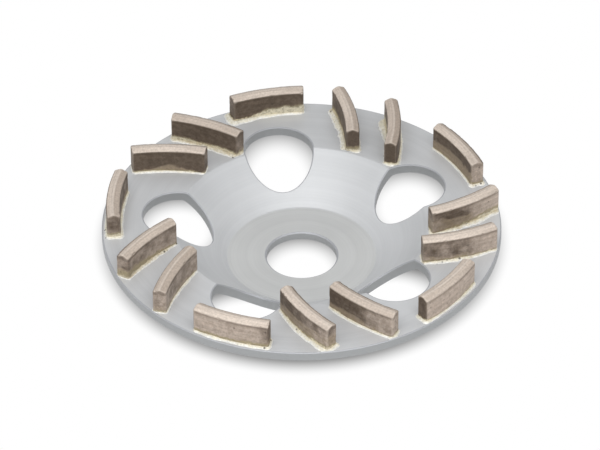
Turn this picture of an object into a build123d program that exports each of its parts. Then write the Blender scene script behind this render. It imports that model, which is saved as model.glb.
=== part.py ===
from build123d import *
import os
from math import atan2, cos, degrees, radians, sin, tan

# Diamond cup wheel: a dished steel body with a plain bore and five round holes, and fifteen
# curved segments brazed onto its rim. Millimetres. The origin is the centre of the hub's back
# face, +Z runs along the bore towards the segments, and +X passes through the first hole.

# Steel body
outer_diameter = 125.0
rim_width = 23.15
cone_run = 15.8
dish_depth = 12.5
sheet_thickness = 3.0
bore_diameter = 22.23
bore_chamfer = 0.4
rim_chamfer = 0.25
front_bend_radius = 1.0
back_bend_radius = 2.5

# Round holes, which cut through both the cone and the rim: their centres lie just inside the
# circle where the two meet
hole_count = 5
hole_diameter = 21.8
hole_setback = 0.15
hole_edge_radius = 0.4

# Sintered segments: curved bars with rounded corners and a low ridged roof
segment_length = 24.1
segment_width = 4.5
segment_wall_height = 7.85
segment_crown = 1.1
segment_curve_radius = 61.5
corner_radius = 0.7
shoulder_radius = 0.4
ridge_radius = 1.6

# Braze: a film under each segment, with a fillet that runs up round its foot
braze_film = 0.15
braze_height = 0.8
braze_width = 1.1
braze_top_width = 0.15

# Places of the segments. Outside each hole one segment lies along the rim, and on either side
# of the hole one leans inwards. A place is an inset from the rim's edge to the segment's
# middle, an angle from the hole's own radius and the lean of the segment's outward direction.
# The segments were set by hand, so each list holds an angle in degrees for each hole.
rim_inset = 3.6
rim_angles = [2.3, 0.2, 2.2, 4.2, 2.9]
rim_lean_angles = [-0.3, 1.8, 1.0, 0.3, 1.8]
leading_inset = 11.3
leading_angles = [25.9, 25.0, 26.2, 26.6, 25.7]
leading_lean_angles = [-55.8, -58.9, -58.7, -55.3, -55.8]
trailing_inset = 11.6
trailing_angles = [-27.3, -28.1, -27.1, -25.8, -25.5]
trailing_lean_angles = [-61.6, -61.5, -56.9, -62.8, -59.5]

# Sizes worked out from the ones above
outer_radius = outer_diameter / 2
bore_radius = bore_diameter / 2
rim_inner_radius = outer_radius - rim_width
hub_flat_radius = rim_inner_radius - cone_run
hole_radius = hole_diameter / 2
hole_pitch_radius = rim_inner_radius - hole_setback
rim_front = dish_depth + sheet_thickness
cone_angle = atan2(dish_depth, cone_run)
back_shift = sheet_thickness * tan(cone_angle / 2)
land_inner_radius = rim_inner_radius + front_bend_radius * tan(cone_angle / 2)
land_outer_radius = outer_radius - rim_chamfer
segment_top = segment_wall_height + segment_crown
segment_half_angle = degrees(segment_length / 2 / segment_curve_radius)
hole_step = 360 / hole_count


def is_front_mouth(edge):
    """Whether an edge of a hole's wall lies on the front surface of the body."""
    middle = edge.center()
    rise = (Vector(middle.X, middle.Y).length - hub_flat_radius) * tan(cone_angle)
    front = sheet_thickness + min(max(rise, 0), dish_depth)
    return middle.Z > front - sheet_thickness / 2


# Steel body: its section is turned about the bore's axis, then the holes are cut
with BuildPart() as cup_body:
    with BuildSketch(Plane.XZ) as section:
        with BuildLine():
            FilletPolyline(
                (bore_radius, 0),
                (hub_flat_radius + back_shift, 0),
                (rim_inner_radius + back_shift, dish_depth),
                (outer_radius, dish_depth),
                (outer_radius, rim_front),
                (rim_inner_radius, rim_front),
                (hub_flat_radius, sheet_thickness),
                (bore_radius, sheet_thickness),
                radius=[0, back_bend_radius, back_bend_radius, 0, 0, front_bend_radius, front_bend_radius, 0],
                close=True,
            )
        make_face()
        chamfer(section.vertices().group_by(Axis.X)[0], bore_chamfer)
        chamfer(section.vertices().group_by(Axis.X)[-1], rim_chamfer)
    revolve(axis=Axis.Z)
    with BuildSketch(Plane.XY):
        with PolarLocations(hole_pitch_radius, hole_count):
            Circle(hole_radius)
    extrude(amount=rim_front, mode=Mode.SUBTRACT)
    walls = cup_body.faces().filter_by(GeomType.CYLINDER).filter_by(
        lambda face: abs(face.radius - hole_radius) < 0.001
    )
    fillet(walls.edges().filter_by(is_front_mouth), hole_edge_radius)

# The flat land of the rim, which can carry braze, clear of its edges and of the holes
with BuildPart() as land:
    with BuildSketch(Plane.XY.offset(rim_front)):
        Circle(land_outer_radius)
        Circle(land_inner_radius, mode=Mode.SUBTRACT)
        with PolarLocations(hole_pitch_radius, hole_count):
            Circle(hole_radius + hole_edge_radius, mode=Mode.SUBTRACT)
    extrude(amount=braze_height)


def seat(inset, angle, lean):
    """Plane on the rim at the centre of a segment's curve, with X towards its middle."""
    radius = outer_radius - inset
    outward = radians(angle + lean)
    direction = Vector(cos(outward), sin(outward), 0)
    middle = Vector(radius * cos(radians(angle)), radius * sin(radians(angle)), rim_front)
    return Plane(origin=middle - direction * segment_curve_radius, x_dir=direction, z_dir=(0, 0, 1))


def footprint(plane, spread):
    """Outline of a segment in plan, spread outwards on every side."""
    inner = segment_curve_radius - segment_width / 2 - spread
    outer = segment_curve_radius + segment_width / 2 + spread
    reach = segment_half_angle + degrees(spread / segment_curve_radius)
    with BuildSketch(plane) as outline:
        with BuildLine():
            inner_arc = CenterArc((0, 0), inner, -reach, 2 * reach)
            outer_arc = CenterArc((0, 0), outer, -reach, 2 * reach)
            Line(inner_arc @ 0, outer_arc @ 0)
            Line(inner_arc @ 1, outer_arc @ 1)
        make_face()
        fillet(outline.vertices(), corner_radius + spread)
    return outline.sketch


def is_upper(edge):
    """Whether an edge of a segment's side runs along the roof."""
    return edge.center().Z > rim_front + braze_film + (segment_wall_height + segment_top) / 4


seats = []
for hole in range(hole_count):
    for inset, angles, leans in (
        (trailing_inset, trailing_angles, trailing_lean_angles),
        (rim_inset, rim_angles, rim_lean_angles),
        (leading_inset, leading_angles, leading_lean_angles),
    ):
        angle = hole * hole_step + angles[hole % len(angles)]
        seats.append(seat(inset, angle, leans[hole % len(leans)]))

segments = []
brazes = []
for number, rim_seat in enumerate(seats, start=1):
    foot = rim_seat.offset(braze_film)
    # Segment: its outline stands up from the film, and the roof's section is swept round the curve
    with BuildPart() as segment:
        add(footprint(foot, 0))
        extrude(amount=segment_top)
        with BuildSketch(Plane(origin=foot.origin, x_dir=foot.x_dir, z_dir=-foot.y_dir)):
            with BuildLine():
                FilletPolyline(
                    (segment_curve_radius - segment_width, 0),
                    (segment_curve_radius + segment_width, 0),
                    (segment_curve_radius + segment_width, segment_wall_height - segment_crown),
                    (segment_curve_radius, segment_top),
                    (segment_curve_radius - segment_width, segment_wall_height - segment_crown),
                    radius=[0, 0, 0, ridge_radius, 0],
                    close=True,
                )
            make_face()
        revolve(axis=Axis(foot.origin, foot.z_dir), mode=Mode.INTERSECT)
        sides = segment.faces().filter_by(lambda face: abs(face.normal_at().Z) < 0.001)
        fillet(sides.edges().filter_by(is_upper), shoulder_radius)
    segment.part.label = f"segment_{number:02d}"
    segments.append(segment.part)
    # Braze: kept to the flat land, and hollowed by the segment that stands in it
    with BuildPart() as braze:
        add(footprint(rim_seat, braze_width))
        add(footprint(rim_seat.offset(braze_height), braze_top_width))
        loft(ruled=True)
        add(land.part, mode=Mode.INTERSECT)
        add(segment.part, mode=Mode.SUBTRACT)
    braze.part.label = f"braze_{number:02d}"
    brazes.append(braze.part)

cup_body.part.label = "cup_body"
os.makedirs("parts", exist_ok=True)
for piece in [cup_body.part] + segments + brazes:
    export_step(piece, f"parts/{piece.label}.step")
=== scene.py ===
from math import atan2, cos, degrees, pi, radians, sin, tan

import bmesh
import bpy
import numpy as np
from bpy.props import FloatProperty, FloatVectorProperty, PointerProperty
from mathutils import Matrix, Vector


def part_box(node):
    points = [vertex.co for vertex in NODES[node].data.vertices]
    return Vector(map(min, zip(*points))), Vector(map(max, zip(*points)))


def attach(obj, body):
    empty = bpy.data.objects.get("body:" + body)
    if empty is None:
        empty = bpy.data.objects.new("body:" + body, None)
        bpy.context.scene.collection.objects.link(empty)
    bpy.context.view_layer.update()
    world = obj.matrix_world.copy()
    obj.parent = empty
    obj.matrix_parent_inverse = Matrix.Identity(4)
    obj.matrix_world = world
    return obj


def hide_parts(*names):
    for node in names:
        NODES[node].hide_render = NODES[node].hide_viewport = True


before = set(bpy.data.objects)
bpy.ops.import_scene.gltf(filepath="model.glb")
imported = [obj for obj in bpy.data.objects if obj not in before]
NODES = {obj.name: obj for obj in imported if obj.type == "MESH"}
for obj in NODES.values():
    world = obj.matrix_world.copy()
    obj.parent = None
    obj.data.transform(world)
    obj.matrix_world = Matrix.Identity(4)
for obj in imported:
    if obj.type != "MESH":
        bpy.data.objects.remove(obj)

bl_info = {
    "name": "Diamond Cup Wheel",
    "version": (1, 0, 0),
    "blender": (4, 5, 0),
    "location": "3D View > Sidebar > Cup Wheel",
    "description": "Finishes a packed diamond cup wheel: turned steel, sintered segments and braze",
    "category": "Object",
}

MM = 0.001
SEGMENTS = sorted(name for name in NODES if name.startswith("segment_"))
BRAZES = sorted(name for name in NODES if name.startswith("braze_"))
BODY_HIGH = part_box("cup_body")[1]

# Sizes of the CAD part that the looks depend on
RIM_FRONT = BODY_HIGH.z
OUTER_RADIUS = BODY_HIGH.x
BORE_RADIUS = 11.115 * MM
HUB_RADIUS = 23.55 * MM
LAND_RADIUS = 39.35 * MM
SHEET = 3.0 * MM
BEND_SHIFT = 1.05 * MM
CURVE_RADIUS = 61.5 * MM
SEGMENT_WIDTH = 4.5 * MM
HOLE_RADIUS = 10.9 * MM
HOLE_EDGE = 0.45 * MM
HOLE_PITCH = 39.2 * MM
HOLE_STEP = 72
HOLE_TURNS = [radians(HOLE_STEP * number) for number in range(5)]
HOLES = [(HOLE_PITCH * cos(turn), HOLE_PITCH * sin(turn), 0.0) for turn in HOLE_TURNS]

# Lengths of the braze's finest forms: the step of its outline and of its bead
OUTLINE_STEP = 0.4 * MM
BEAD_STEP = 0.22 * MM

# How each segment came out of the furnace. Lists of five run from its minus end to its plus end,
# and pairs hold its minus end and its plus end. Heights and widths are in millimetres.
# side: tone of the sides, from 0, burnt, to 1, clean. Beyond these the sides lose their mottling.
# ends: the same for the two ends.
# foot: height to which braze wetted the side. cream: share of that height which is clean braze.
# band: height to which the side is tan instead of burnt.
# inner and outer: width of the bead on the concave and the convex side. tips: at the two ends.
# slopes: light on the concave and the convex half of the roof, from 0, in painted shade, to 1, bright.
# rust: how tarnished the bead is.
# burnt: how far a side's stain wraps over the roof, below 0 for the concave side.
EVEN = [0.4, 0.4, 0.4, 0.4, 0.4]
LOOKS = {
    "segment_01": {
        "side": [0.55, 0.35, 0.4, 1.1, 1.4], "band": [5.4, 4.6, 4.4, 6.4, 7.5], "ends": [0.35, 0.8],
        "foot": [1, 1, 1.6, 2.6, 2.6], "cream": 0.6, "slopes": [1, 1], "rust": 0.55, "burnt": -1.3,
        "inner": EVEN, "outer": [0.6, 1, 1.2, 1.2, 0.9], "tips": [0.9, 0.2],
    },
    "segment_02": {
        "side": [0.1, 0.05, 0.05, 0.15, 0.25], "band": [4.6, 4.4, 4.6, 4.2, 3.6], "ends": [0.75, 0.5],
        "foot": [1.2, 1, 0.8, 0.8, 0.8], "cream": 0.3, "slopes": [1, 0.45], "rust": 0.3, "burnt": 1.3,
        "inner": [0.6, 0.4, 0.4, 0.3, 0.3], "outer": EVEN, "tips": [0.9, 0.3],
    },
    "segment_03": {
        "side": [0.2, 0.3, 0.3, 0.4, 0.4], "band": [0.8, 2, 2, 2, 2], "ends": [-0.3, 0.5],
        "foot": [1, 1.2, 2, 3.2, 3.6], "cream": 0.8, "slopes": [0.74, 0.29], "rust": 0.4, "burnt": 1,
        "inner": [0.4, 0.7, 1.3, 2.3, 1.9], "outer": [0.8, 0.8, 0.6, 0.4, 0.4], "tips": [0.7, 0.4],
    },
    "segment_04": {
        "side": [0.25, 0.25, 0.25, 0.3, 0.3], "band": [1, 1.6, 1.6, 1.6, 1.6], "ends": [-0.3, 0.5],
        "foot": [2, 1.4, 1.4, 1.8, 2.4], "cream": 0.6, "slopes": [1, 0.45], "rust": 0.45, "burnt": 1,
        "inner": [1.3, 1.8, 2.1, 2.1, 1.8], "outer": [0.7, 0.6, 0.4, 0.4, 0.4], "tips": [0.7, 0.5],
    },
    "segment_05": {
        "side": [0.2, 0.1, 0.1, 0.15, 0.3], "band": [0.5, 0.5, 0.5, 0.5, 0.5], "ends": [0.3, 0.3],
        "foot": [3.4, 3.2, 2.8, 1.1, 0.9], "cream": 0.9, "slopes": [0.94, 0.74], "rust": 0.15, "burnt": 1.3,
        "inner": [0.5, 0.7, 0.9, 1.2, 2], "outer": [0.4, 0.4, 0.4, 0.6, 0.9], "tips": [0.3, 1.9],
    },
    "segment_06": {
        "side": [0.2, 0.1, 0.05, 0.1, 0.25], "band": [1.5, 1.2, 1.6, 1.2, 1.6], "ends": [0.35, 0.4],
        "foot": [1.4, 1.8, 1.6, 1.8, 1.8], "cream": 0.8, "slopes": [0.71, 0.51], "rust": 0.75, "burnt": 1.3,
        "inner": [1, 1.3, 1.2, 1, 1.1], "outer": EVEN, "tips": [0.7, 0.6],
    },
    "segment_07": {
        "side": [0.1, 0.1, 0.1, 0.1, 0.2], "band": [0.9, 0.9, 3, 1.3, 0.9], "ends": [0.3, 0.3],
        "foot": [0.8, 0.8, 0.9, 0.9, 0.9], "cream": 0.5, "slopes": [1, 0.8], "rust": 0.1, "burnt": 1.3,
        "inner": [0.4, 0.4, 0.5, 0.5, 0.5], "outer": EVEN, "tips": [0.2, 0.2],
    },
    "segment_08": {
        "side": [0.4, 0.35, 0.35, 0.4, 0.4], "band": [2.4, 2.4, 2.4, 2.4, 1.6], "ends": [0.4, 0.45],
        "foot": [1, 1, 1, 1.4, 1.9], "cream": 0.75, "slopes": [0.5, 1], "rust": 0.2, "burnt": 1,
        "inner": [0.6, 0.7, 0.8, 0.8, 0.8], "outer": [0.4, 0.4, 0.4, 0.6, 0.8], "tips": [0.4, 0.8],
    },
    "segment_09": {
        "side": [0.5, 0.62, 0.6, 0.56, 0.42], "band": [2.4, 2, 2.4, 3.4, 3.8], "ends": [0.5, 0.45],
        "foot": [0.8, 1.2, 1.8, 2.6, 2.8], "cream": 0.3, "slopes": [0.73, 0.88], "rust": 0.7, "burnt": 1.3,
        "inner": [0.4, 0.8, 1.1, 0.7, 0.4], "outer": EVEN, "tips": [0.3, 0.1],
    },
    "segment_10": {
        "side": [0.62, 0.57, 0.52, 0.52, 0.57], "band": [1.6, 1.6, 1.6, 2, 2.4], "ends": [0.5, 0.5],
        "foot": [0.8, 0.8, 0.8, 0.8, 0.8], "cream": 0.6, "slopes": [0.5, 0.75], "rust": 0.1, "burnt": 1,
        "inner": [0.5, 0.7, 0.6, 0.4, 0.3], "outer": EVEN, "tips": [0.3, 0.1],
    },
    "segment_11": {
        "side": [0.75, 0.75, 0.7, 0.7, 0.45], "band": [3, 2, 2.6, 2.4, 2.4], "ends": [0.4, 0.25],
        "foot": [1.2, 1.5, 1.2, 1.7, 1.3], "cream": 0.35, "slopes": [0.8, 1], "rust": 0.3, "burnt": -1.3,
        "inner": EVEN, "outer": [0.5, 0.8, 0.6, 0.8, 0.8], "tips": [0.2, 0.6],
    },
    "segment_12": {
        "side": [0.2, 0.3, 0.4, 0.5, 0.55], "band": [3.2, 3.8, 4.4, 4.8, 5.4], "ends": [0.4, 0.45],
        "foot": [1, 1.3, 1.1, 1.9, 1.6], "cream": 0.7, "slopes": [0.75, 1], "rust": 0.3, "burnt": -1.3,
        "inner": EVEN, "outer": [0.7, 0.9, 1.1, 1.2, 1.2], "tips": [0.2, 1.2],
    },
    "segment_13": {
        "side": [0.1, 0.2, 0.35, 0.55, 0.6], "band": [2.8, 2.8, 2.4, 2, 2], "ends": [0.2, 0.6],
        "foot": [0.9, 0.8, 0.8, 0.8, 0.8], "cream": 0.6, "slopes": [0.53, 0.73], "rust": 0.2, "burnt": -1.3,
        "inner": EVEN, "outer": [0.6, 0.7, 0.6, 0.4, 0.6], "tips": [0.2, 0.8],
    },
    "segment_14": {
        "side": [0.85, 1, 1, 0.95, 0.9], "band": EVEN, "ends": [0.25, 0.6],
        "foot": [0.9, 0.6, 0.6, 0.9, 1.2], "cream": 0.8, "slopes": [1, 0.75], "rust": 0.1, "burnt": -1,
        "inner": EVEN, "outer": [0.9, 0.4, 0.4, 0.7, 1], "tips": [0.8, 0.4],
    },
    "segment_15": {
        "side": [0.45, 0.5, 0.5, 0.65, 0.85], "band": [2.6, 2.2, 1.8, 1.6, 1.6], "ends": [0.35, 0.5],
        "foot": [1.2, 1, 0.9, 0.8, 0.8], "cream": 0.6, "slopes": [0.85, 1], "rust": 0.45, "burnt": -1.3,
        "inner": EVEN, "outer": [0.5, 0.7, 0.9, 0.7, 0.6], "tips": [0.4, 0.2],
    },
}


def along_side(values, place):
    """Values spread evenly from a segment's minus end, -1, to its plus end, 1, read at a place between."""
    return np.interp(place, np.linspace(-1, 1, len(values)), values)


def ease(value, low, high):
    """How far a value has come from low to high, kept from 0 to 1."""
    return np.clip((value - low) / (high - low), 0, 1)


def between(first, second, share):
    """A value between two others."""
    return first * (1 - share) + second * share


# Node helpers


def fill(tree, node, inputs):
    """Sets inputs to plain values or links them to sockets. A plain colour may leave out its alpha."""
    for name, value in inputs.items():
        socket = node.inputs[name]
        if isinstance(value, bpy.types.NodeSocket):
            tree.links.new(value, socket)
        elif socket.type == "RGBA" and len(value) == 3:
            socket.default_value = (*value, 1.0)
        else:
            socket.default_value = value


def put(tree, kind, inputs=None, **settings):
    """Adds a node."""
    node = tree.nodes.new(kind)
    for name, value in settings.items():
        setattr(node, name, value)
    fill(tree, node, inputs or {})
    return node


def out(tree, kind, inputs=None, **settings):
    """Adds a node and gives its first output."""
    return put(tree, kind, inputs, **settings).outputs[0]


def maths(tree, operation, first, second=0.0):
    """A Math node's result."""
    return out(tree, "ShaderNodeMath", {0: first, 1: second}, operation=operation)


def plus(tree, first, second):
    """The sum of two values."""
    return maths(tree, "ADD", first, second)


def minus(tree, first, second):
    """The first value less the second."""
    return maths(tree, "SUBTRACT", first, second)


def times(tree, first, second):
    """The product of two values."""
    return maths(tree, "MULTIPLY", first, second)


def most(tree, first, second):
    """The larger of two values."""
    return maths(tree, "MAXIMUM", first, second)


def flip(tree, value):
    """A share turned round: 1 less the value."""
    return minus(tree, 1.0, value)


def vectors(tree, operation, first, second=(0.0, 0.0, 0.0)):
    """A Vector Math node's result: a value for a length, a distance or a dot product."""
    node = put(tree, "ShaderNodeVectorMath", {0: first, 1: second}, operation=operation)
    return node.outputs["Value" if operation in ("LENGTH", "DISTANCE", "DOT_PRODUCT") else "Vector"]


def scaled(tree, vector, factor):
    """A vector made longer or shorter."""
    return out(tree, "ShaderNodeVectorMath", {0: vector, "Scale": factor}, operation="SCALE")


def flattened(tree, vector):
    """A vector without its height."""
    return vectors(tree, "MULTIPLY", vector, (1.0, 1.0, 0.0))


def split(tree, vector):
    """The three parts of a vector."""
    return put(tree, "ShaderNodeSeparateXYZ", {"Vector": vector}).outputs


def join(tree, **parts):
    """A vector from its parts."""
    return out(tree, "ShaderNodeCombineXYZ", parts)


def ramp(tree, value, low, high, start=0.0, end=1.0):
    """A smooth Map Range from low..high to start..end."""
    inputs = {"Value": value, "From Min": low, "From Max": high, "To Min": start, "To Max": end}
    return put(tree, "ShaderNodeMapRange", inputs, interpolation_type="SMOOTHSTEP").outputs["Result"]


def fade(tree, value, low, high):
    """A smooth fall from 1 at low to 0 at high."""
    return flip(tree, ramp(tree, value, low, high))


def noise(tree, vector, scale, detail=3.0, roughness=0.55):
    """A Noise Texture's value."""
    inputs = {"Vector": vector, "Scale": scale, "Detail": detail, "Roughness": roughness}
    return put(tree, "ShaderNodeTexNoise", inputs).outputs["Fac"]


def blend(tree, factor, first, second, mode="MIX"):
    """A colour Mix node's result."""
    node = put(tree, "ShaderNodeMix", {0: factor, 6: first, 7: second}, data_type="RGBA", blend_type=mode)
    return node.outputs[2]


def grey(tree, level):
    """A colour with all three parts alike."""
    return out(tree, "ShaderNodeCombineColor", {0: level, 1: level, 2: level})


def shaded(tree, colour, level):
    """A colour multiplied by a level."""
    return blend(tree, 1.0, colour, grey(tree, level), "MULTIPLY")


def bump(tree, strength, distance, height):
    """A bumped normal."""
    return out(tree, "ShaderNodeBump", {"Strength": strength, "Distance": distance, "Height": height})


def attribute(tree, name, output):
    """An attribute of the mesh, in a shader."""
    return put(tree, "ShaderNodeAttribute", attribute_name=name).outputs[output]


def new_group(name, kind, inputs, outputs):
    """A node group. An input is given by its default, or by its type where it has none."""
    tree = bpy.data.node_groups.new(name, kind)
    for label, given in inputs.items():
        typed = isinstance(given, str)
        socket_type = given if typed else "NodeSocketFloat"
        item = tree.interface.new_socket(label, in_out="INPUT", socket_type=socket_type)
        if not typed:
            item.default_value = given
    for label, socket_type in outputs.items():
        tree.interface.new_socket(label, in_out="OUTPUT", socket_type=socket_type)
    return tree, tree.nodes.new("NodeGroupInput").outputs, tree.nodes.new("NodeGroupOutput").inputs


def new_material(name):
    """A material with its tree, its Principled BSDF and object coordinates."""
    material = bpy.data.materials.new(name)
    material.use_nodes = True
    tree = material.node_tree
    tree.nodes.clear()
    shader = put(tree, "ShaderNodeBsdfPrincipled")
    put(tree, "ShaderNodeOutputMaterial", {"Surface": shader.outputs["BSDF"]})
    place = put(tree, "ShaderNodeTexCoord").outputs["Object"]
    return material, tree, shader, place


# Shader groups


def patches_group():
    """Soft-edged patches: a mask that is 1 inside a patch, and follows a bias from 0 to 1."""
    inputs = {"Vector": "NodeSocketVector", "Scale": 200.0, "Bias": 0.5, "Raggedness": 0.6, "Softness": 0.12}
    outputs = {"Mask": "NodeSocketFloat"}
    tree, source, result = new_group("Uneven Patches", "ShaderNodeTree", inputs, outputs)
    field = noise(tree, source["Vector"], source["Scale"], detail=5.0, roughness=0.6)
    spread = times(tree, minus(tree, field, 0.5), source["Raggedness"])
    level = plus(tree, times(tree, spread, 2.0), source["Bias"])
    low = minus(tree, 0.5, source["Softness"])
    high = plus(tree, 0.5, source["Softness"])
    tree.links.new(ramp(tree, level, low, high), result["Mask"])


def grain_group():
    """Sintered or cast grain: a height for bump, a mask of the small pits in it, and a speckle."""
    inputs = {"Vector": "NodeSocketVector", "Grain Scale": 2500.0, "Pit Scale": 420.0, "Pit Share": 0.12}
    outputs = {"Height": "NodeSocketFloat", "Pits": "NodeSocketFloat", "Speckle": "NodeSocketFloat"}
    tree, source, result = new_group("Pitted Grain", "ShaderNodeTree", inputs, outputs)
    fine = noise(tree, source["Vector"], source["Grain Scale"], detail=4.0, roughness=0.7)
    cells = put(tree, "ShaderNodeTexVoronoi", {"Vector": source["Vector"], "Scale": source["Pit Scale"]})
    near = fade(tree, cells.outputs["Distance"], 0.10, 0.30)
    drawn = out(tree, "ShaderNodeSeparateColor", {"Color": cells.outputs["Color"]})
    pits = times(tree, near, maths(tree, "LESS_THAN", drawn, source["Pit Share"]))
    tree.links.new(minus(tree, fine, times(tree, pits, 1.5)), result["Height"])
    tree.links.new(pits, result["Pits"])
    tree.links.new(fine, result["Speckle"])


def use_group(tree, name, inputs):
    """The outputs of one of the shared groups."""
    return put(tree, "ShaderNodeGroup", inputs, node_tree=bpy.data.node_groups[name]).outputs


def patches(tree, vector, scale, bias, raggedness, softness):
    """The mask of soft-edged patches."""
    inputs = {"Vector": vector, "Scale": scale, "Bias": bias, "Raggedness": raggedness, "Softness": softness}
    return use_group(tree, "Uneven Patches", inputs)["Mask"]


def pitted_grain(tree, vector, scale, pit_scale, pit_share):
    """The height, pits and speckle of a grain."""
    inputs = {"Vector": vector, "Grain Scale": scale, "Pit Scale": pit_scale, "Pit Share": pit_share}
    return use_group(tree, "Pitted Grain", inputs)


# Materials


def steel_material(settings):
    """Turned and blasted steel: fine rings about the bore, a soft cloudiness and duller cut walls, with
    painted shade on the walls and on the broken edges.
    """
    material, tree, shader, place = new_material("turned_steel")
    flat = flattened(tree, place)
    radius = vectors(tree, "LENGTH", flat)
    ring_place = join(tree, X=radius, Y=times(tree, split(tree, place)["Z"], 0.6))
    rings = noise(tree, ring_place, 2600.0, roughness=0.65)
    bands = noise(tree, ring_place, 330.0, detail=2.0)
    cloud = noise(tree, place, 55.0)
    speck = noise(tree, place, 1900.0, roughness=0.7)
    tone = plus(tree, times(tree, bands, 0.5), times(tree, cloud, 0.5))
    tone = plus(tree, tone, times(tree, rings, 0.35))
    base = blend(tree, ramp(tree, tone, 0.35, 0.95), settings.dark, settings.light)
    on_hub = fade(tree, radius, HUB_RADIUS - 0.4 * MM, HUB_RADIUS + 0.2 * MM)
    base = blend(tree, on_hub, base, settings.hub, "MULTIPLY")
    # The walls of the holes, the bore and the rim are cut, and stay duller than the turned faces; their
    # darker colour, picked by which way they face, is partly that duller finish and partly painted shade
    facing = put(tree, "ShaderNodeTexCoord").outputs["Normal"]
    upright = maths(tree, "ABSOLUTE", split(tree, facing)["Z"])
    cut_wall_shade = fade(tree, upright, 0.15, 0.5)
    base = blend(tree, cut_wall_shade, base, settings.wall)
    # Painted shade on the broken edges of the rim, the bore and the holes, so that they don't catch the
    # light
    edge = maths(tree, "GREATER_THAN", radius, OUTER_RADIUS - 0.4 * MM)
    edge = most(tree, edge, maths(tree, "LESS_THAN", radius, BORE_RADIUS + 0.5 * MM))
    for hole in HOLES:
        gap = vectors(tree, "DISTANCE", flat, hole)
        edge = most(tree, edge, maths(tree, "LESS_THAN", gap, HOLE_RADIUS + HOLE_EDGE))
    base = blend(tree, times(tree, edge, flip(tree, cut_wall_shade)), base, settings.broken_edge_shade)
    height = plus(tree, times(tree, rings, 0.6), times(tree, speck, 0.4))
    finish = {
        "Base Color": base,
        "Metallic": settings.shine,
        "Roughness": ramp(tree, cloud, 0.3, 0.7, 0.42, 0.52),
        "Anisotropic": 0.35,
        "Tangent": out(tree, "ShaderNodeTangent", direction_type="RADIAL", axis="Z"),
        "Normal": bump(tree, 0.25, 0.02 * MM, height),
    }
    fill(tree, shader, finish)
    return material


def sinter_material(settings):
    """Sintered bronze: burnt above and tan below along its sides, with a ground pinkish roof."""
    material, tree, shader, place = new_material("sintered_bronze")
    lay = attribute(tree, "lay", "Vector")
    look = put(tree, "ShaderNodeSeparateColor", {"Color": attribute(tree, "look", "Color")}).outputs
    tone, roof, wear_and_highlight = look["Red"], look["Green"], look["Blue"]
    # The painted light and shade of the roof's two halves
    slope = attribute(tree, "look", "Alpha")
    wetting = split(tree, attribute(tree, "wetting", "Vector"))
    foot, creamy, band = wetting["X"], wetting["Y"], wetting["Z"]
    across, level = split(tree, lay)["Y"], split(tree, lay)["Z"]
    # Fine lines run along the segment
    stretched = out(tree, "ShaderNodeMapping", {"Vector": lay, "Scale": (60.0, 1500.0, 1500.0)})
    lines = noise(tree, stretched, 1.0, roughness=0.6)
    # Sides, burnt dark brown or clean, and tan below a ragged boundary
    stain = patches(tree, place, 260.0, tone, 0.5, 0.25)
    side = blend(tree, stain, settings.dark_side, settings.pale_side)
    tan_part = blend(tree, stain, settings.tan_side, settings.pale_side)
    ragged = minus(tree, noise(tree, place, 420.0, detail=4.0, roughness=0.65), 0.5)
    wavy = minus(tree, noise(tree, place, 190.0, detail=2.0), 0.5)
    height = plus(tree, level, times(tree, wavy, 3.2 * MM))
    height = plus(tree, height, times(tree, ragged, 1.6 * MM))
    below = fade(tree, minus(tree, height, band), -0.5 * MM, 0.5 * MM)
    side = blend(tree, times(tree, below, 0.9), side, tan_part)
    # Mottling, which fades where the tone lies beyond 0 or 1
    weight = plus(tree, 0.4, maths(tree, "MINIMUM", tone, 0.0))
    weight = minus(tree, weight, most(tree, minus(tree, tone, 1.0), 0.0))
    mottle = times(tree, patches(tree, place, 700.0, 0.5, 1.0, 0.35), weight)
    side = blend(tree, mottle, side, settings.middle_side)
    # Darker just below the roof, with the fine lines
    burn = times(tree, ramp(tree, level, 6.6 * MM, 7.6 * MM), 0.45)
    side = blend(tree, burn, side, settings.dark_side)
    side = shaded(tree, side, ramp(tree, lines, 0.3, 0.7, 0.88, 1.11))
    # Olive wetting above the braze, then the braze's own cream at the foot, broken by specks
    rise = plus(tree, level, times(tree, ragged, 2.6 * MM))
    rise = maths(tree, "DIVIDE", rise, foot)
    wet = fade(tree, rise, 0.85, 1.25)
    side = blend(tree, times(tree, wet, 0.8), side, settings.olive)
    cream = fade(tree, minus(tree, rise, creamy), -0.15, 0.15)
    specks = ramp(tree, patches(tree, place, 1100.0, 0.62, 1.0, 0.2), 0.0, 1.0, 0.45, 0.92)
    side = blend(tree, times(tree, cream, specks), side, settings.cream)
    # Roof, ground along its length, with a painted highlight along the ridge and painted shade on one slope
    top = blend(tree, ramp(tree, lines, 0.35, 0.65), settings.roof_dark, settings.roof_light)
    top = blend(tree, slope, settings.roof_shade, top)
    # A painted highlight along the ridge
    ridge_highlight = fade(tree, maths(tree, "ABSOLUTE", across), 0.1 * MM, 0.5 * MM)
    top = blend(tree, times(tree, ridge_highlight, 0.4), top, settings.ridge_highlight)
    body = blend(tree, roof, side, top)
    # Pits, speckle and rubbed edges all over, with fewer pits on the roof. The rubbed edges are partly wear
    # and partly a painted highlight along them
    grain = pitted_grain(tree, place, 1500.0, 700.0, 0.1)
    pits = times(tree, grain["Pits"], minus(tree, 0.6, times(tree, roof, 0.5)))
    body = blend(tree, pits, body, settings.pit)
    body = shaded(tree, body, ramp(tree, grain["Speckle"], 0.3, 0.7, 0.86, 1.11))
    body = blend(tree, times(tree, wear_and_highlight, 0.5), body, settings.worn_edge_highlight)
    ground = times(tree, lines, times(tree, roof, 0.5))
    finish = {
        "Base Color": body,
        "Metallic": 0.25,
        "Roughness": ramp(tree, roof, 0.0, 1.0, 0.62, 0.50),
        "Normal": bump(tree, 0.5, 0.06 * MM, plus(tree, times(tree, grain["Height"], 0.7), ground)),
    }
    fill(tree, shader, finish)
    return material


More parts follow.
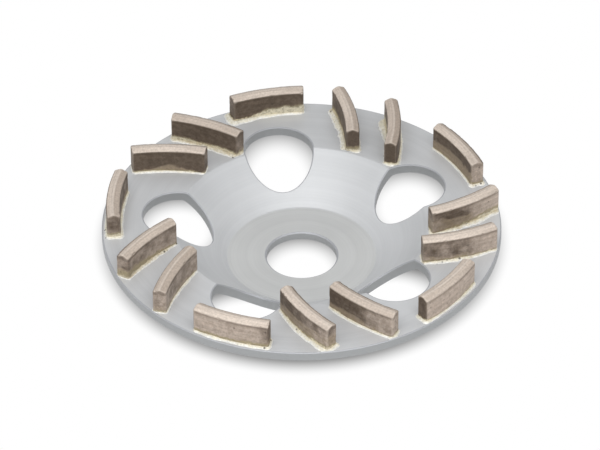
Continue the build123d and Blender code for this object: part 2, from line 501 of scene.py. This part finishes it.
def braze_material(settings):
    """Braze: a cream bead with olive and pale patches, and dark pinholes where it tarnished."""
    material, tree, shader, place = new_material("braze")
    rust = attribute(tree, "rust", "Fac")
    olive = patches(tree, place, 330.0, times(tree, rust, 0.8), 0.9, 0.25)
    base = blend(tree, times(tree, olive, 0.6), settings.cream, settings.olive)
    pale = patches(tree, place, 700.0, 0.4, 1.0, 0.3)
    base = blend(tree, times(tree, pale, 0.6), base, settings.pale)
    # Silvery where it runs out thin over the steel
    level = minus(tree, split(tree, place)["Z"], RIM_FRONT)
    wander = minus(tree, noise(tree, place, 600.0), 0.5)
    level = plus(tree, level, times(tree, wander, 0.9 * MM))
    thin = fade(tree, level, 0.1 * MM, 0.4 * MM)
    base = blend(tree, times(tree, thin, 0.85), base, settings.silver)
    grain = pitted_grain(tree, place, 1300.0, 560.0, times(tree, rust, 0.45))
    base = shaded(tree, base, ramp(tree, grain["Speckle"], 0.3, 0.7, 0.86, 1.12))
    base = blend(tree, times(tree, grain["Pits"], 0.85), base, settings.pinhole)
    finish = {
        "Base Color": base,
        "Metallic": 0.2,
        "Roughness": 0.55,
        "Normal": bump(tree, 0.7, 0.15 * MM, grain["Height"]),
    }
    fill(tree, shader, finish)
    return material


# Geometry


class Seat:
    """Where a segment stands, found from its solid: its foot's outline and the centre of its curve."""

    def __init__(self, node):
        points = np.array([vertex.co for vertex in NODES[node].data.vertices])
        at_foot = points[:, 2] < points[:, 2].min() + 0.01 * MM
        outline = np.unique(points[at_foot][:, :2].round(6), axis=0)
        self.middle = (outline.min(0) + outline.max(0)) / 2
        # The middle moves to the middle of the outline, measured along and across the segment
        for _ in range(3):
            spread = outline - self.middle
            along = np.linalg.svd(spread - spread.mean(0), full_matrices=False)[2][0]
            outward = np.array([along[1], -along[0]])
            u, v = spread @ along, spread @ outward
            self.middle = self.middle + along * (u.max() + u.min()) / 2 + outward * (v.max() + v.min()) / 2
        # The ends of a curved bar lie further inwards than its middle
        u, v = (outline - self.middle) @ along, (outline - self.middle) @ outward
        if v[abs(u) > 0.9 * u.max()].mean() > v[abs(u) < 0.3 * u.max()].mean():
            along, outward = -along, -outward
        # Seen from above, the outline runs anticlockwise
        self.outline = outline[np.argsort(np.arctan2(u, v))]
        self.outward = outward
        self.along = along
        self.centre = self.middle + outward * (v.max() - CURVE_RADIUS - SEGMENT_WIDTH / 2)
        self.half = self.lay(outline)[0].max()

    def lay(self, points):
        """Distances of points along the curve from the middle, and outwards from the centre line."""
        spread = points[:, :2] - self.centre
        turn = np.arctan2(spread @ self.along, spread @ self.outward)
        return turn * CURVE_RADIUS, np.linalg.norm(spread, axis=1) - CURVE_RADIUS


def even_loop(outline, step):
    """A closed outline with points at an even step."""
    closed = np.vstack([outline, outline[:1]])
    reach = np.concatenate([[0], np.cumsum(np.linalg.norm(np.diff(closed, axis=0), axis=1))])
    stops = np.linspace(0, reach[-1], int(reach[-1] / step), endpoint=False)
    return np.column_stack([np.interp(stops, reach, closed[:, 0]), np.interp(stops, reach, closed[:, 1])])


def store(tree, geometry, name, value, kind="FLOAT_VECTOR"):
    """A geometry with a value kept on its points."""
    inputs = {"Geometry": geometry, "Name": name, "Value": value}
    return out(tree, "GeometryNodeStoreNamedAttribute", inputs, data_type=kind, domain="POINT")


def stored(tree, name, kind="FLOAT_VECTOR"):
    """A value kept on the points."""
    return out(tree, "GeometryNodeInputNamedAttribute", {"Name": name}, data_type=kind)


def seeded(tree, place, seed):
    """A place moved by the seed, so that each piece has noise of its own."""
    return vectors(tree, "ADD", place, join(tree, X=seed, Y=seed))


def close_tree(tree, geometry, source, result):
    """Ends a tree with smooth faces, real geometry and the material."""
    smooth = out(tree, "GeometryNodeSetShadeSmooth", {"Geometry": geometry})
    real = out(tree, "GeometryNodeRealizeInstances", {"Geometry": smooth})
    finished = out(tree, "GeometryNodeSetMaterial", {"Geometry": real, "Material": source["Material"]})
    tree.links.new(finished, result["Geometry"])
    return tree


def bead_tree():
    """Geometry Nodes for a braze bead: a loop becomes a bead whose width and height wander along it."""
    inputs = {
        "Geometry": "NodeSocketGeometry",
        "Embed": 0.35 * MM,
        "Unevenness": 0.4,
        "Lump Scale": 240.0,
        "Seed": 0.0,
        "Outer Limit": 62.3 * MM,
        "Inner Limit": 39.6 * MM,
        "Hole Middle": "NodeSocketVector",
        "Hole Limit": 11.2 * MM,
        "Material": "NodeSocketMaterial",
    }
    outputs = {"Geometry": "NodeSocketGeometry"}
    tree, source, result = new_group("Braze Bead", "GeometryNodeTree", inputs, outputs)
    loop = out(tree, "GeometryNodeMeshToCurve", {"Mesh": source["Geometry"]})
    loop = out(tree, "GeometryNodeResampleCurve", {"Curve": loop, "Length": BEAD_STEP}, mode="LENGTH")
    loop = out(tree, "GeometryNodeSetCurveNormal", {"Curve": loop}, mode="Z_UP")
    # The section is swept very small with its shape kept on its points, which then move to their places
    circle = {"Resolution": 14, "Radius": 1.0}
    section = out(tree, "GeometryNodeCurvePrimitiveCircle", circle, mode="RADIUS")
    place = out(tree, "GeometryNodeInputPosition")
    section = store(tree, section, "section", place)
    small = out(tree, "GeometryNodeTransform", {"Geometry": section, "Scale": (1e-6, 1e-6, 1e-6)})
    tangent = out(tree, "GeometryNodeInputTangent")
    side = vectors(tree, "CROSS_PRODUCT", tangent, (0.0, 0.0, 1.0))
    marked = store(tree, store(tree, loop, "side", side), "centre", place)
    swept = out(tree, "GeometryNodeCurveToMesh", {"Curve": marked, "Profile Curve": small})
    away = stored(tree, "side")
    centre = stored(tree, "centre")
    parts = split(tree, stored(tree, "section"))
    # The bead swells and shrinks along the loop, in width more than in height
    field = seeded(tree, centre, source["Seed"])
    lumps = minus(tree, noise(tree, field, source["Lump Scale"]), 0.5)
    swell = plus(tree, 1.0, times(tree, times(tree, lumps, source["Unevenness"]), 4.0))
    swell = most(tree, swell, 0.2)
    width = times(tree, stored(tree, "width", "FLOAT"), swell)
    height = times(tree, stored(tree, "height", "FLOAT"), plus(tree, 0.4, times(tree, swell, 0.6)))
    # The circle becomes a toe outside, a shoulder at the wall and a flat underside
    whole = plus(tree, width, source["Embed"])
    across = times(tree, plus(tree, times(tree, parts["X"], 0.5), 0.5), whole)
    outwards = minus(tree, across, source["Embed"])
    upwards = times(tree, most(tree, parts["Y"], 0.0), height)
    fall = flip(tree, ramp(tree, parts["X"], -0.4, 1.0, 0.0, 0.9))
    upwards = times(tree, upwards, times(tree, fall, 1.3))
    moved = vectors(tree, "ADD", centre, scaled(tree, away, outwards))
    moved = vectors(tree, "ADD", moved, join(tree, Z=upwards))
    # The bead stays on the flat land, clear of the hole beside it
    reach = vectors(tree, "LENGTH", flattened(tree, moved))
    pull = maths(tree, "MINIMUM", maths(tree, "DIVIDE", source["Outer Limit"], reach), 1.0)
    pull = most(tree, maths(tree, "DIVIDE", source["Inner Limit"], reach), pull)
    moved = vectors(tree, "MULTIPLY", moved, join(tree, X=pull, Y=pull, Z=1.0))
    from_hole = vectors(tree, "SUBTRACT", moved, source["Hole Middle"])
    gap = vectors(tree, "LENGTH", flattened(tree, from_hole))
    push = most(tree, maths(tree, "DIVIDE", source["Hole Limit"], gap), 1.0)
    from_hole = vectors(tree, "MULTIPLY", from_hole, join(tree, X=push, Y=push, Z=1.0))
    moved = vectors(tree, "ADD", from_hole, source["Hole Middle"])
    shaped = out(tree, "GeometryNodeSetPosition", {"Geometry": swept, "Position": moved})
    outward = out(tree, "GeometryNodeFlipFaces", {"Mesh": shaped})
    return close_tree(tree, outward, source, result)


def sinter_tree():
    """Geometry Nodes for a segment's surface: shallow waves, fine grain and chipped edges."""
    inputs = {
        "Geometry": "NodeSocketGeometry",
        "Grain Depth": 0.05 * MM,
        "Grain Scale": 1400.0,
        "Wave Depth": 0.12 * MM,
        "Wave Scale": 260.0,
        "Chip Depth": 0.35 * MM,
        "Chip Scale": 420.0,
        "Seed": 0.0,
        "Material": "NodeSocketMaterial",
    }
    outputs = {"Geometry": "NodeSocketGeometry"}
    tree, source, result = new_group("Sintered Surface", "GeometryNodeTree", inputs, outputs)
    place = out(tree, "GeometryNodeInputPosition")
    normal = out(tree, "GeometryNodeInputNormal")
    field = seeded(tree, place, source["Seed"])
    # How far a point stands out from its surroundings, which is most along the edges
    blur = {"Value": place, "Iterations": 6}
    blurred = out(tree, "GeometryNodeBlurAttribute", blur, data_type="FLOAT_VECTOR")
    proud = vectors(tree, "DOT_PRODUCT", vectors(tree, "SUBTRACT", place, blurred), normal)
    edge = ramp(tree, proud, 0.03 * MM, 0.14 * MM)
    marked = store(tree, source["Geometry"], "edge", edge, "FLOAT")
    # Every point moves inwards, the edges most where they are chipped
    grain = times(tree, noise(tree, field, source["Grain Scale"], detail=2.0), source["Grain Depth"])
    wave = times(tree, noise(tree, field, source["Wave Scale"], detail=2.0), source["Wave Depth"])
    chip = ramp(tree, noise(tree, field, source["Chip Scale"], detail=2.0), 0.56, 0.72)
    chip = times(tree, times(tree, chip, stored(tree, "edge", "FLOAT")), source["Chip Depth"])
    depth = plus(tree, plus(tree, grain, wave), chip)
    inwards = scaled(tree, normal, times(tree, depth, -1.0))
    moved = out(tree, "GeometryNodeSetPosition", {"Geometry": marked, "Offset": inwards})
    return close_tree(tree, moved, source, result)


def make_plain(name, start, tree, values, voxel=None):
    """Runs a Geometry Nodes tree on a mesh, remeshed first if a voxel size is given, and returns the
    result as a plain object at the origin."""
    helper = bpy.data.objects.new(name + "_draft", start)
    bpy.context.scene.collection.objects.link(helper)
    if voxel:
        fine = helper.modifiers.new("fine", "REMESH")
        fine.mode = "VOXEL"
        fine.voxel_size = voxel
    modifier = helper.modifiers.new("shape", "NODES")
    modifier.node_group = tree
    for item in tree.interface.items_tree:
        if item.item_type == "SOCKET" and item.in_out == "INPUT" and item.name in values:
            modifier[item.identifier] = values[item.name]
    evaluated = helper.evaluated_get(bpy.context.evaluated_depsgraph_get())
    mesh = bpy.data.meshes.new_from_object(evaluated)
    mesh.name = name
    bpy.data.objects.remove(helper)
    bpy.data.meshes.remove(start)
    piece = bpy.data.objects.new(name, mesh)
    bpy.context.scene.collection.objects.link(piece)
    return piece


def merged_copy(node):
    """A CAD node's mesh with its loose triangles joined."""
    form = bmesh.new()
    form.from_mesh(NODES[node].data)
    bmesh.ops.remove_doubles(form, verts=form.verts, dist=1e-6)
    mesh = bpy.data.meshes.new(node + "_copy")
    form.to_mesh(mesh)
    form.free()
    return mesh


def read_vectors(mesh, name):
    """A vector of each of a mesh's points."""
    values = np.zeros(len(mesh.vertices) * 3)
    mesh.vertices.foreach_get(name, values)
    return values.reshape(-1, 3)


def mark(mesh, name, *columns):
    """Keeps columns of values on a mesh's points: one makes a number, three a vector, four a colour."""
    kinds = {1: ("FLOAT", "value"), 3: ("FLOAT_VECTOR", "vector"), 4: ("FLOAT_COLOR", "color")}
    kind, field = kinds[len(columns)]
    mesh.attributes.new(name, kind, "POINT").data.foreach_set(field, np.column_stack(columns).ravel())


# Settings, as an add-on's user would see them


def colour(name, description, default):
    """A colour among the settings."""
    return FloatVectorProperty(name=name, description=description, default=default, subtype="COLOR")


def length(name, description, default):
    """A length among the settings."""
    return FloatProperty(name=name, description=description, default=default, unit="LENGTH", precision=5)


def angle(name, description, default):
    """An angle among the settings."""
    return FloatProperty(name=name, description=description, default=default, subtype="ANGLE")


def number(name, description, default):
    """A plain number among the settings."""
    return FloatProperty(name=name, description=description, default=default)


class SteelSettings(bpy.types.PropertyGroup):
    """Colours of the steel body."""

    light: colour("Light steel", "Bright parts of the turned steel", (0.63, 0.64, 0.65))
    dark: colour("Dark steel", "Dull parts of the turned steel", (0.54, 0.55, 0.56))
    # Partly the duller finish of the cut walls, partly painted shade on them
    wall: colour("Cut walls", "Walls of the holes, the bore and the rim", (0.355, 0.365, 0.37))
    # Painted shade on the broken edges, which keeps them from catching the light
    broken_edge_shade: colour("Broken edges", "Edges of the rim, bore and holes", (0.42, 0.43, 0.45))
    hub: colour("Hub", "Dulling of the hub's flat face", (0.935, 0.93, 0.905))
    shine: number("Shine", "How far the steel reflects as bare metal", 0.22)


class SinterSettings(bpy.types.PropertyGroup):
    """Sizes and colours of the sintered segments."""

    voxel: length("Detail size", "Size of the smallest detail on a segment", 0.27 * MM)
    dark_side: colour("Dark side", "Burnt parts of the sides", (0.115, 0.083, 0.058))
    middle_side: colour("Middle side", "Mottling of the sides", (0.25, 0.19, 0.14))
    pale_side: colour("Pale side", "Clean parts of the sides", (0.53, 0.44, 0.37))
    tan_side: colour("Tan side", "Lower part of the sides", (0.355, 0.28, 0.195))
    olive: colour("Olive stain", "Wetting above the braze", (0.37, 0.31, 0.19))
    cream: colour("Foot", "Braze drawn up the foot", (0.80, 0.735, 0.57))
    roof_light: colour("Light roof", "Ground faces of the roof", (0.70, 0.605, 0.52))
    roof_dark: colour("Dark roof", "Grooves in the roof", (0.58, 0.495, 0.42))
    # Painted shade on the slope of the roof that is turned from the light
    roof_shade: colour("Dull roof", "The duller slope of the roof", (0.36, 0.285, 0.225))
    # Painted highlight along the ridge of the roof
    ridge_highlight: colour("Ridge", "Rubbed ridge of the roof", (0.80, 0.715, 0.63))
    # Partly wear and partly a painted highlight along the edges
    worn_edge_highlight: colour("Worn edge", "Rubbed edges", (0.62, 0.54, 0.46))
    pit: colour("Pit", "Pits in the bond", (0.06, 0.045, 0.035))


class BrazeSettings(bpy.types.PropertyGroup):
    """Sizes and colours of the braze."""

    width: length("Width", "Width of a bead that is as high as the next setting says", 1.15 * MM)
    height: length("Height", "Height of a bead of that width", 0.62 * MM)
    cream: colour("Cream", "Clean braze", (0.78, 0.735, 0.60))
    pale: colour("Pale", "Bright flecks", (0.86, 0.84, 0.76))
    silver: colour("Silver", "Thin braze", (0.82, 0.82, 0.80))
    olive: colour("Olive", "Tarnished braze", (0.47, 0.38, 0.22))
    pinhole: colour("Pinhole", "Dark pinholes", (0.05, 0.035, 0.02))


class StageSettings(bpy.types.PropertyGroup):
    """Floor, light and camera."""

    floor: colour("Floor", "Colour of the floor", (0.9, 0.9, 0.9))
    # The floor's shadow and its spots of light are painted into the floor's emission, and these settings
    # shape them
    shade: number("Shade", "How light the floor is in the deepest shadow", 0.15)
    rim_slide: length("Rim shadow", "How far the rim's shadow slides from the camera", 11.6 * MM)
    lag: length("Wall shadow", "How much of the shadow shows at the foot of a wall", 2.4 * MM)
    reach: length("Spot reach", "How far the light through a hole spreads to the camera", 12 * MM)
    spread: length("Spot spread", "How far the light through a hole spreads to each side", 1.5 * MM)
    near_spread: length("Near spread", "How much more it does so for the nearest hole", 2.5 * MM)
    near_shift: length("Near shift", "How much further its far edge slides for the nearest hole", 5.5 * MM)
    room: colour("Room", "Tint of the room's light", (0.985, 0.99, 1.0))
    horizon: number("Horizon", "Brightness of the room at the horizon", 0.54)
    overhead: number("Overhead", "Brightness of the room overhead", 0.70)
    key: number("Key light", "Level to which the soft box lights a face turned to it", 0.65)
    key_elevation: angle("Key elevation", "Height of the soft box above the wheel's plane", radians(58))
    key_distance: length("Key distance", "From the middle of the hub to the soft box", 0.45)
    lean: number("Lean", "How much brighter the room is to the camera's right", -0.04)
    distance: length("Camera distance", "From the middle of the rim to the camera", 1.3424)
    elevation: angle("Camera elevation", "Height of the camera above the rim's plane", radians(38.732))
    azimuth: angle("Camera azimuth", "Where the camera stands round the bore", radians(-118.674))
    roll: angle("Camera roll", "Tilt of the camera about its own axis", 0.003)
    lens: number("Focal length", "On a sensor 36 mm wide", 257.42)
    across: length("Aim across", "How far the wheel's middle lies right of the image's middle", 0.5 * MM)
    above: length("Aim above", "How far the wheel's middle lies above the image's middle", 0.40 * MM)


# Operators


class CUPWHEEL_OT_steel(bpy.types.Operator):
    """Give the steel body its turned finish"""

    bl_idname = "cupwheel.steel"
    bl_label = "Steel Body"

    def execute(self, context):
        material = steel_material(context.scene.cup_steel)
        for slot in NODES["cup_body"].material_slots:
            slot.material = material
        return {"FINISHED"}


class CUPWHEEL_OT_segments(bpy.types.Operator):
    """Replace each plain segment by a sintered one with grain, waves and chipped edges"""

    bl_idname = "cupwheel.segments"
    bl_label = "Sintered Segments"

    def execute(self, context):
        settings = context.scene.cup_sinter
        material = sinter_material(settings)
        tree = sinter_tree()
        for count, node in enumerate(SEGMENTS):
            values = {"Seed": 0.37 * count, "Material": material}
            piece = make_plain("sintered_" + node, merged_copy(node), tree, values, settings.voxel)
            mark_segment(piece.data, Seat(node), LOOKS[node])
            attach(piece, "root")
            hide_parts(node)
        return {"FINISHED"}


def mark_segment(mesh, seat, marks):
    """Keeps on a segment's points where they lie on it and how they look."""
    points = read_vectors(mesh, "co")
    normals = read_vectors(mesh, "normal")
    u, v = seat.lay(points)
    place = u / seat.half
    on_end = ease(abs(normals[:, :2] @ seat.along), 0.5, 0.8)
    end_tone = np.where(place > 0, marks["ends"][1], marks["ends"][0])
    tone = between(along_side(marks["side"], place), end_tone, on_end)
    wrapped = ease(v * marks["burnt"], 1.7 * MM, 2.0 * MM)
    roof = ease(normals[:, 2], 0.55, 0.8) * (1 - 0.8 * wrapped)
    edge = np.zeros(len(u))
    mesh.attributes["edge"].data.foreach_get("value", edge)
    # How far each half of the roof lies in painted shade
    slope = between(*marks["slopes"], ease(v, -0.4 * MM, 0.4 * MM))
    foot = along_side(marks["foot"], place) * MM
    band = along_side(marks["band"], place) * MM
    cream = np.full(len(u), marks["cream"])
    mark(mesh, "lay", u, v, points[:, 2] - RIM_FRONT)
    # The third part of the look marks the rubbed edges, which carry wear and a painted highlight
    mark(mesh, "look", tone, roof, edge * (1 - wrapped), slope)
    mark(mesh, "wetting", foot, cream, band)


class CUPWHEEL_OT_braze(bpy.types.Operator):
    """Run an uneven bead of braze round the foot of each segment"""

    bl_idname = "cupwheel.braze"
    bl_label = "Braze Beads"

    def execute(self, context):
        settings = context.scene.cup_braze
        material = braze_material(settings)
        tree = bead_tree()
        for count, (node, segment) in enumerate(zip(BRAZES, SEGMENTS)):
            seat = Seat(segment)
            loop = bead_loop(node, seat, LOOKS[segment], settings)
            nearest = round(degrees(atan2(seat.middle[1], seat.middle[0])) / HOLE_STEP)
            values = {
                "Seed": 0.51 * count,
                "Outer Limit": OUTER_RADIUS - 0.35 * MM,
                "Inner Limit": LAND_RADIUS + 0.5 * MM,
                "Hole Middle": HOLES[nearest],
                "Hole Limit": HOLE_RADIUS + HOLE_EDGE,
                "Material": material,
            }
            piece = make_plain("bead_" + node, loop, tree, values)
            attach(piece, "root")
            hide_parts(node)
        return {"FINISHED"}


def bead_loop(node, seat, marks, settings):
    """The line round a segment's foot, with the bead's width, height and tarnish on its points."""
    line = even_loop(seat.outline, OUTLINE_STEP)
    u, v = seat.lay(line)
    place = u / seat.half
    inner = along_side(marks["inner"], place)
    outer = along_side(marks["outer"], place)
    width = between(inner, outer, ease(v, -SEGMENT_WIDTH / 2, SEGMENT_WIDTH / 2))
    tip = np.where(place > 0, marks["tips"][1], marks["tips"][0])
    width = between(width, tip, ease(abs(place), 0.93, 0.98)) * MM
    count = len(line)
    loop = bpy.data.meshes.new(node + "_loop")
    corners = [(x, y, RIM_FRONT) for x, y in line]
    loop.from_pydata(corners, [(k, (k + 1) % count) for k in range(count)], [])
    mark(loop, "width", width)
    mark(loop, "height", settings.height * (width / settings.width) ** 0.4)
    mark(loop, "rust", np.full(count, marks["rust"]))
    return loop


class CUPWHEEL_OT_stage(bpy.types.Operator):
    """Set up the floor, the lamps and the camera"""

    bl_idname = "cupwheel.stage"
    bl_label = "Stage"

    def execute(self, context):
        scene = context.scene
        scene.view_settings.view_transform = "Standard"
        make_floor(scene.cup_stage)
        make_lights(scene, scene.cup_stage)
        make_camera(scene, scene.cup_stage)
        return {"FINISHED"}


def front_level(radius):
    """Height of the body's front surface at a radius."""
    return float(np.interp(radius, [HUB_RADIUS, LAND_RADIUS], [SHEET, RIM_FRONT]))


def under_level(radius):
    """Height of the body's back surface at a radius."""
    bends = [HUB_RADIUS + BEND_SHIFT, LAND_RADIUS + BEND_SHIFT]
    return float(np.interp(radius, bends, [0.0, RIM_FRONT - SHEET]))


def painted_floor_light(tree, place, settings):
    """How far a place on the floor lies inside a painted light, worked out from the outlines of the rim and
    the openings rather than cast by a lamp. The light is taken to come from above the camera: the rim's
    painted shadow slides away from it, and so do the painted spots of light through the openings. Each spot
    is an ellipse, as it slides further past a high edge than past a low one."""
    away = Vector((-cos(settings.azimuth), -sin(settings.azimuth), 0.0))
    across = Vector((-away.y, away.x, 0.0))
    slope = 1 / tan(settings.elevation)
    light = minus(tree, vectors(tree, "DISTANCE", place, away * settings.rim_slide), OUTER_RADIUS)
    openings = [((0.0, 0.0, 0.0), BORE_RADIUS)] + [(hole, HOLE_RADIUS) for hole in HOLES]
    for centre, radius in openings:
        centre = Vector(centre)
        nearness = max(-centre.dot(away) / HOLE_PITCH, 0.0)
        far_edge = radius + slope * under_level((centre + away * radius).length) - settings.lag
        far_edge += settings.near_shift * nearness
        near_edge = -radius + slope * front_level((centre - away * radius).length) - settings.reach
        depth = (far_edge - near_edge) / 2
        width = radius + settings.spread + settings.near_spread * nearness
        step = vectors(tree, "SUBTRACT", place, centre + away * (far_edge + near_edge) / 2)
        lengthwise = vectors(tree, "DOT_PRODUCT", step, away / depth)
        sideways = vectors(tree, "DOT_PRODUCT", step, across / width)
        share = vectors(tree, "LENGTH", join(tree, X=lengthwise, Y=sideways))
        inside = times(tree, flip(tree, share), min(depth, radius))
        light = most(tree, light, inside)
    return light


def make_floor(settings):
    """A plain pale floor. The camera and reflections see it as white, with a soft shadow of the rim painted
    into its emission.
    """
    mesh = bpy.data.meshes.new("floor")
    half = 6.0
    corners = [(-half, -half, 0), (half, -half, 0), (half, half, 0), (-half, half, 0)]
    mesh.from_pydata(corners, [], [(0, 1, 2, 3)])
    floor = bpy.data.objects.new("floor", mesh)
    bpy.context.scene.collection.objects.link(floor)
    material, tree, shader, place = new_material("pale_floor")
    fill(tree, shader, {"Base Color": settings.floor, "Roughness": 0.9})
    # The shadow that the camera and reflections see is painted from the outlines above, not cast
    level = ramp(tree, painted_floor_light(tree, place, settings), -6.0 * MM, 4.5 * MM, settings.shade, 1.0)
    seen = out(tree, "ShaderNodeEmission", {"Color": grey(tree, level), "Strength": 1.0})
    path = put(tree, "ShaderNodeLightPath").outputs
    direct = most(tree, path["Is Camera Ray"], path["Is Glossy Ray"])
    mixed = out(tree, "ShaderNodeMixShader", {0: direct, 1: shader.outputs["BSDF"], 2: seen})
    # From below the floor is clear, so that the underside can be looked at
    below = put(tree, "ShaderNodeNewGeometry").outputs["Backfacing"]
    clear = out(tree, "ShaderNodeBsdfTransparent", {"Color": (1.0, 1.0, 1.0)})
    sided = out(tree, "ShaderNodeMixShader", {0: below, 1: mixed, 2: clear})
    output = next(node for node in tree.nodes if node.type == "OUTPUT_MATERIAL")
    tree.links.new(sided, output.inputs["Surface"])
    mesh.materials.append(material)


def add_soft_box(scene, settings):
    """A soft box above the camera, aimed at the wheel, which lights a face turned to it to a level."""
    lamp = bpy.data.lights.new("key", "AREA")
    lamp.shape = "RECTANGLE"
    lamp.size, lamp.size_y = 0.6, 0.26
    lamp.energy = settings.key * (pi * settings.key_distance) ** 2
    holder = bpy.data.objects.new("key", lamp)
    azimuth, elevation = settings.azimuth, settings.key_elevation
    towards = Vector((cos(elevation) * cos(azimuth), cos(elevation) * sin(azimuth), sin(elevation)))
    holder.location = towards * settings.key_distance
    holder.rotation_euler = towards.to_track_quat("Z", "Y").to_euler()
    scene.collection.objects.link(holder)


def make_lights(scene, settings):
    """A pale room, and a soft box above the camera."""
    world = bpy.data.worlds.new("room")
    world.use_nodes = True
    tree = world.node_tree
    tree.nodes.clear()
    towards = put(tree, "ShaderNodeTexCoord").outputs["Generated"]
    right = (cos(settings.azimuth + pi / 2), sin(settings.azimuth + pi / 2), 0.0)
    sideways = vectors(tree, "DOT_PRODUCT", towards, right)
    level = ramp(tree, split(tree, towards)["Z"], 0.3, 0.9, settings.horizon, settings.overhead)
    level = plus(tree, level, times(tree, sideways, settings.lean))
    room = out(tree, "ShaderNodeBackground", {"Color": settings.room, "Strength": level})
    put(tree, "ShaderNodeOutputWorld", {"Surface": room})
    scene.world = world
    add_soft_box(scene, settings)


def make_camera(scene, settings):
    """The camera, at the photo's viewing angle."""
    camera = bpy.data.cameras.new("camera")
    camera.sensor_width = 36.0
    camera.lens = settings.lens
    camera.clip_start = 0.05
    camera.clip_end = 20.0
    holder = bpy.data.objects.new("camera", camera)
    turn = Matrix.Rotation(settings.azimuth + pi / 2, 3, "Z")
    right = Vector((1, 0, 0))
    up = Vector((0, sin(settings.elevation), cos(settings.elevation)))
    back = Vector((0, -cos(settings.elevation), sin(settings.elevation)))
    place = back * settings.distance - right * settings.across - up * settings.above
    rolled_right = right * cos(settings.roll) - up * sin(settings.roll)
    rolled_up = right * sin(settings.roll) + up * cos(settings.roll)
    axes = Matrix((turn @ rolled_right, turn @ rolled_up, turn @ back)).transposed()
    holder.matrix_world = Matrix.Translation(turn @ place + Vector((0, 0, RIM_FRONT))) @ axes.to_4x4()
    scene.collection.objects.link(holder)
    scene.camera = holder


class CUPWHEEL_PT_panel(bpy.types.Panel):
    """Lists the steps that finish the wheel"""

    bl_idname = "CUPWHEEL_PT_panel"
    bl_label = "Cup Wheel"
    bl_space_type = "VIEW_3D"
    bl_region_type = "UI"
    bl_category = "Cup Wheel"

    def draw(self, context):
        for operator in OPERATORS:
            self.layout.operator(operator.bl_idname)


SETTINGS = {
    "cup_steel": SteelSettings,
    "cup_sinter": SinterSettings,
    "cup_braze": BrazeSettings,
    "cup_stage": StageSettings,
}
OPERATORS = (CUPWHEEL_OT_steel, CUPWHEEL_OT_segments, CUPWHEEL_OT_braze, CUPWHEEL_OT_stage)


def register():
    """Register the settings, the operators and the panel."""
    for name, group in SETTINGS.items():
        bpy.utils.register_class(group)
        setattr(bpy.types.Scene, name, PointerProperty(type=group))
    for item in (*OPERATORS, CUPWHEEL_PT_panel):
        bpy.utils.register_class(item)


def unregister():
    """Take everything off again."""
    for item in (CUPWHEEL_PT_panel, *reversed(OPERATORS)):
        bpy.utils.unregister_class(item)
    for name, group in SETTINGS.items():
        delattr(bpy.types.Scene, name)
        bpy.utils.unregister_class(group)


def main():
    """Build the whole wheel."""
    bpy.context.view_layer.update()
    register()
    patches_group()
    grain_group()
    for operator in OPERATORS:
        group, name = operator.bl_idname.split(".")
        getattr(getattr(bpy.ops, group), name)()


if __name__ == "__main__":
    main()
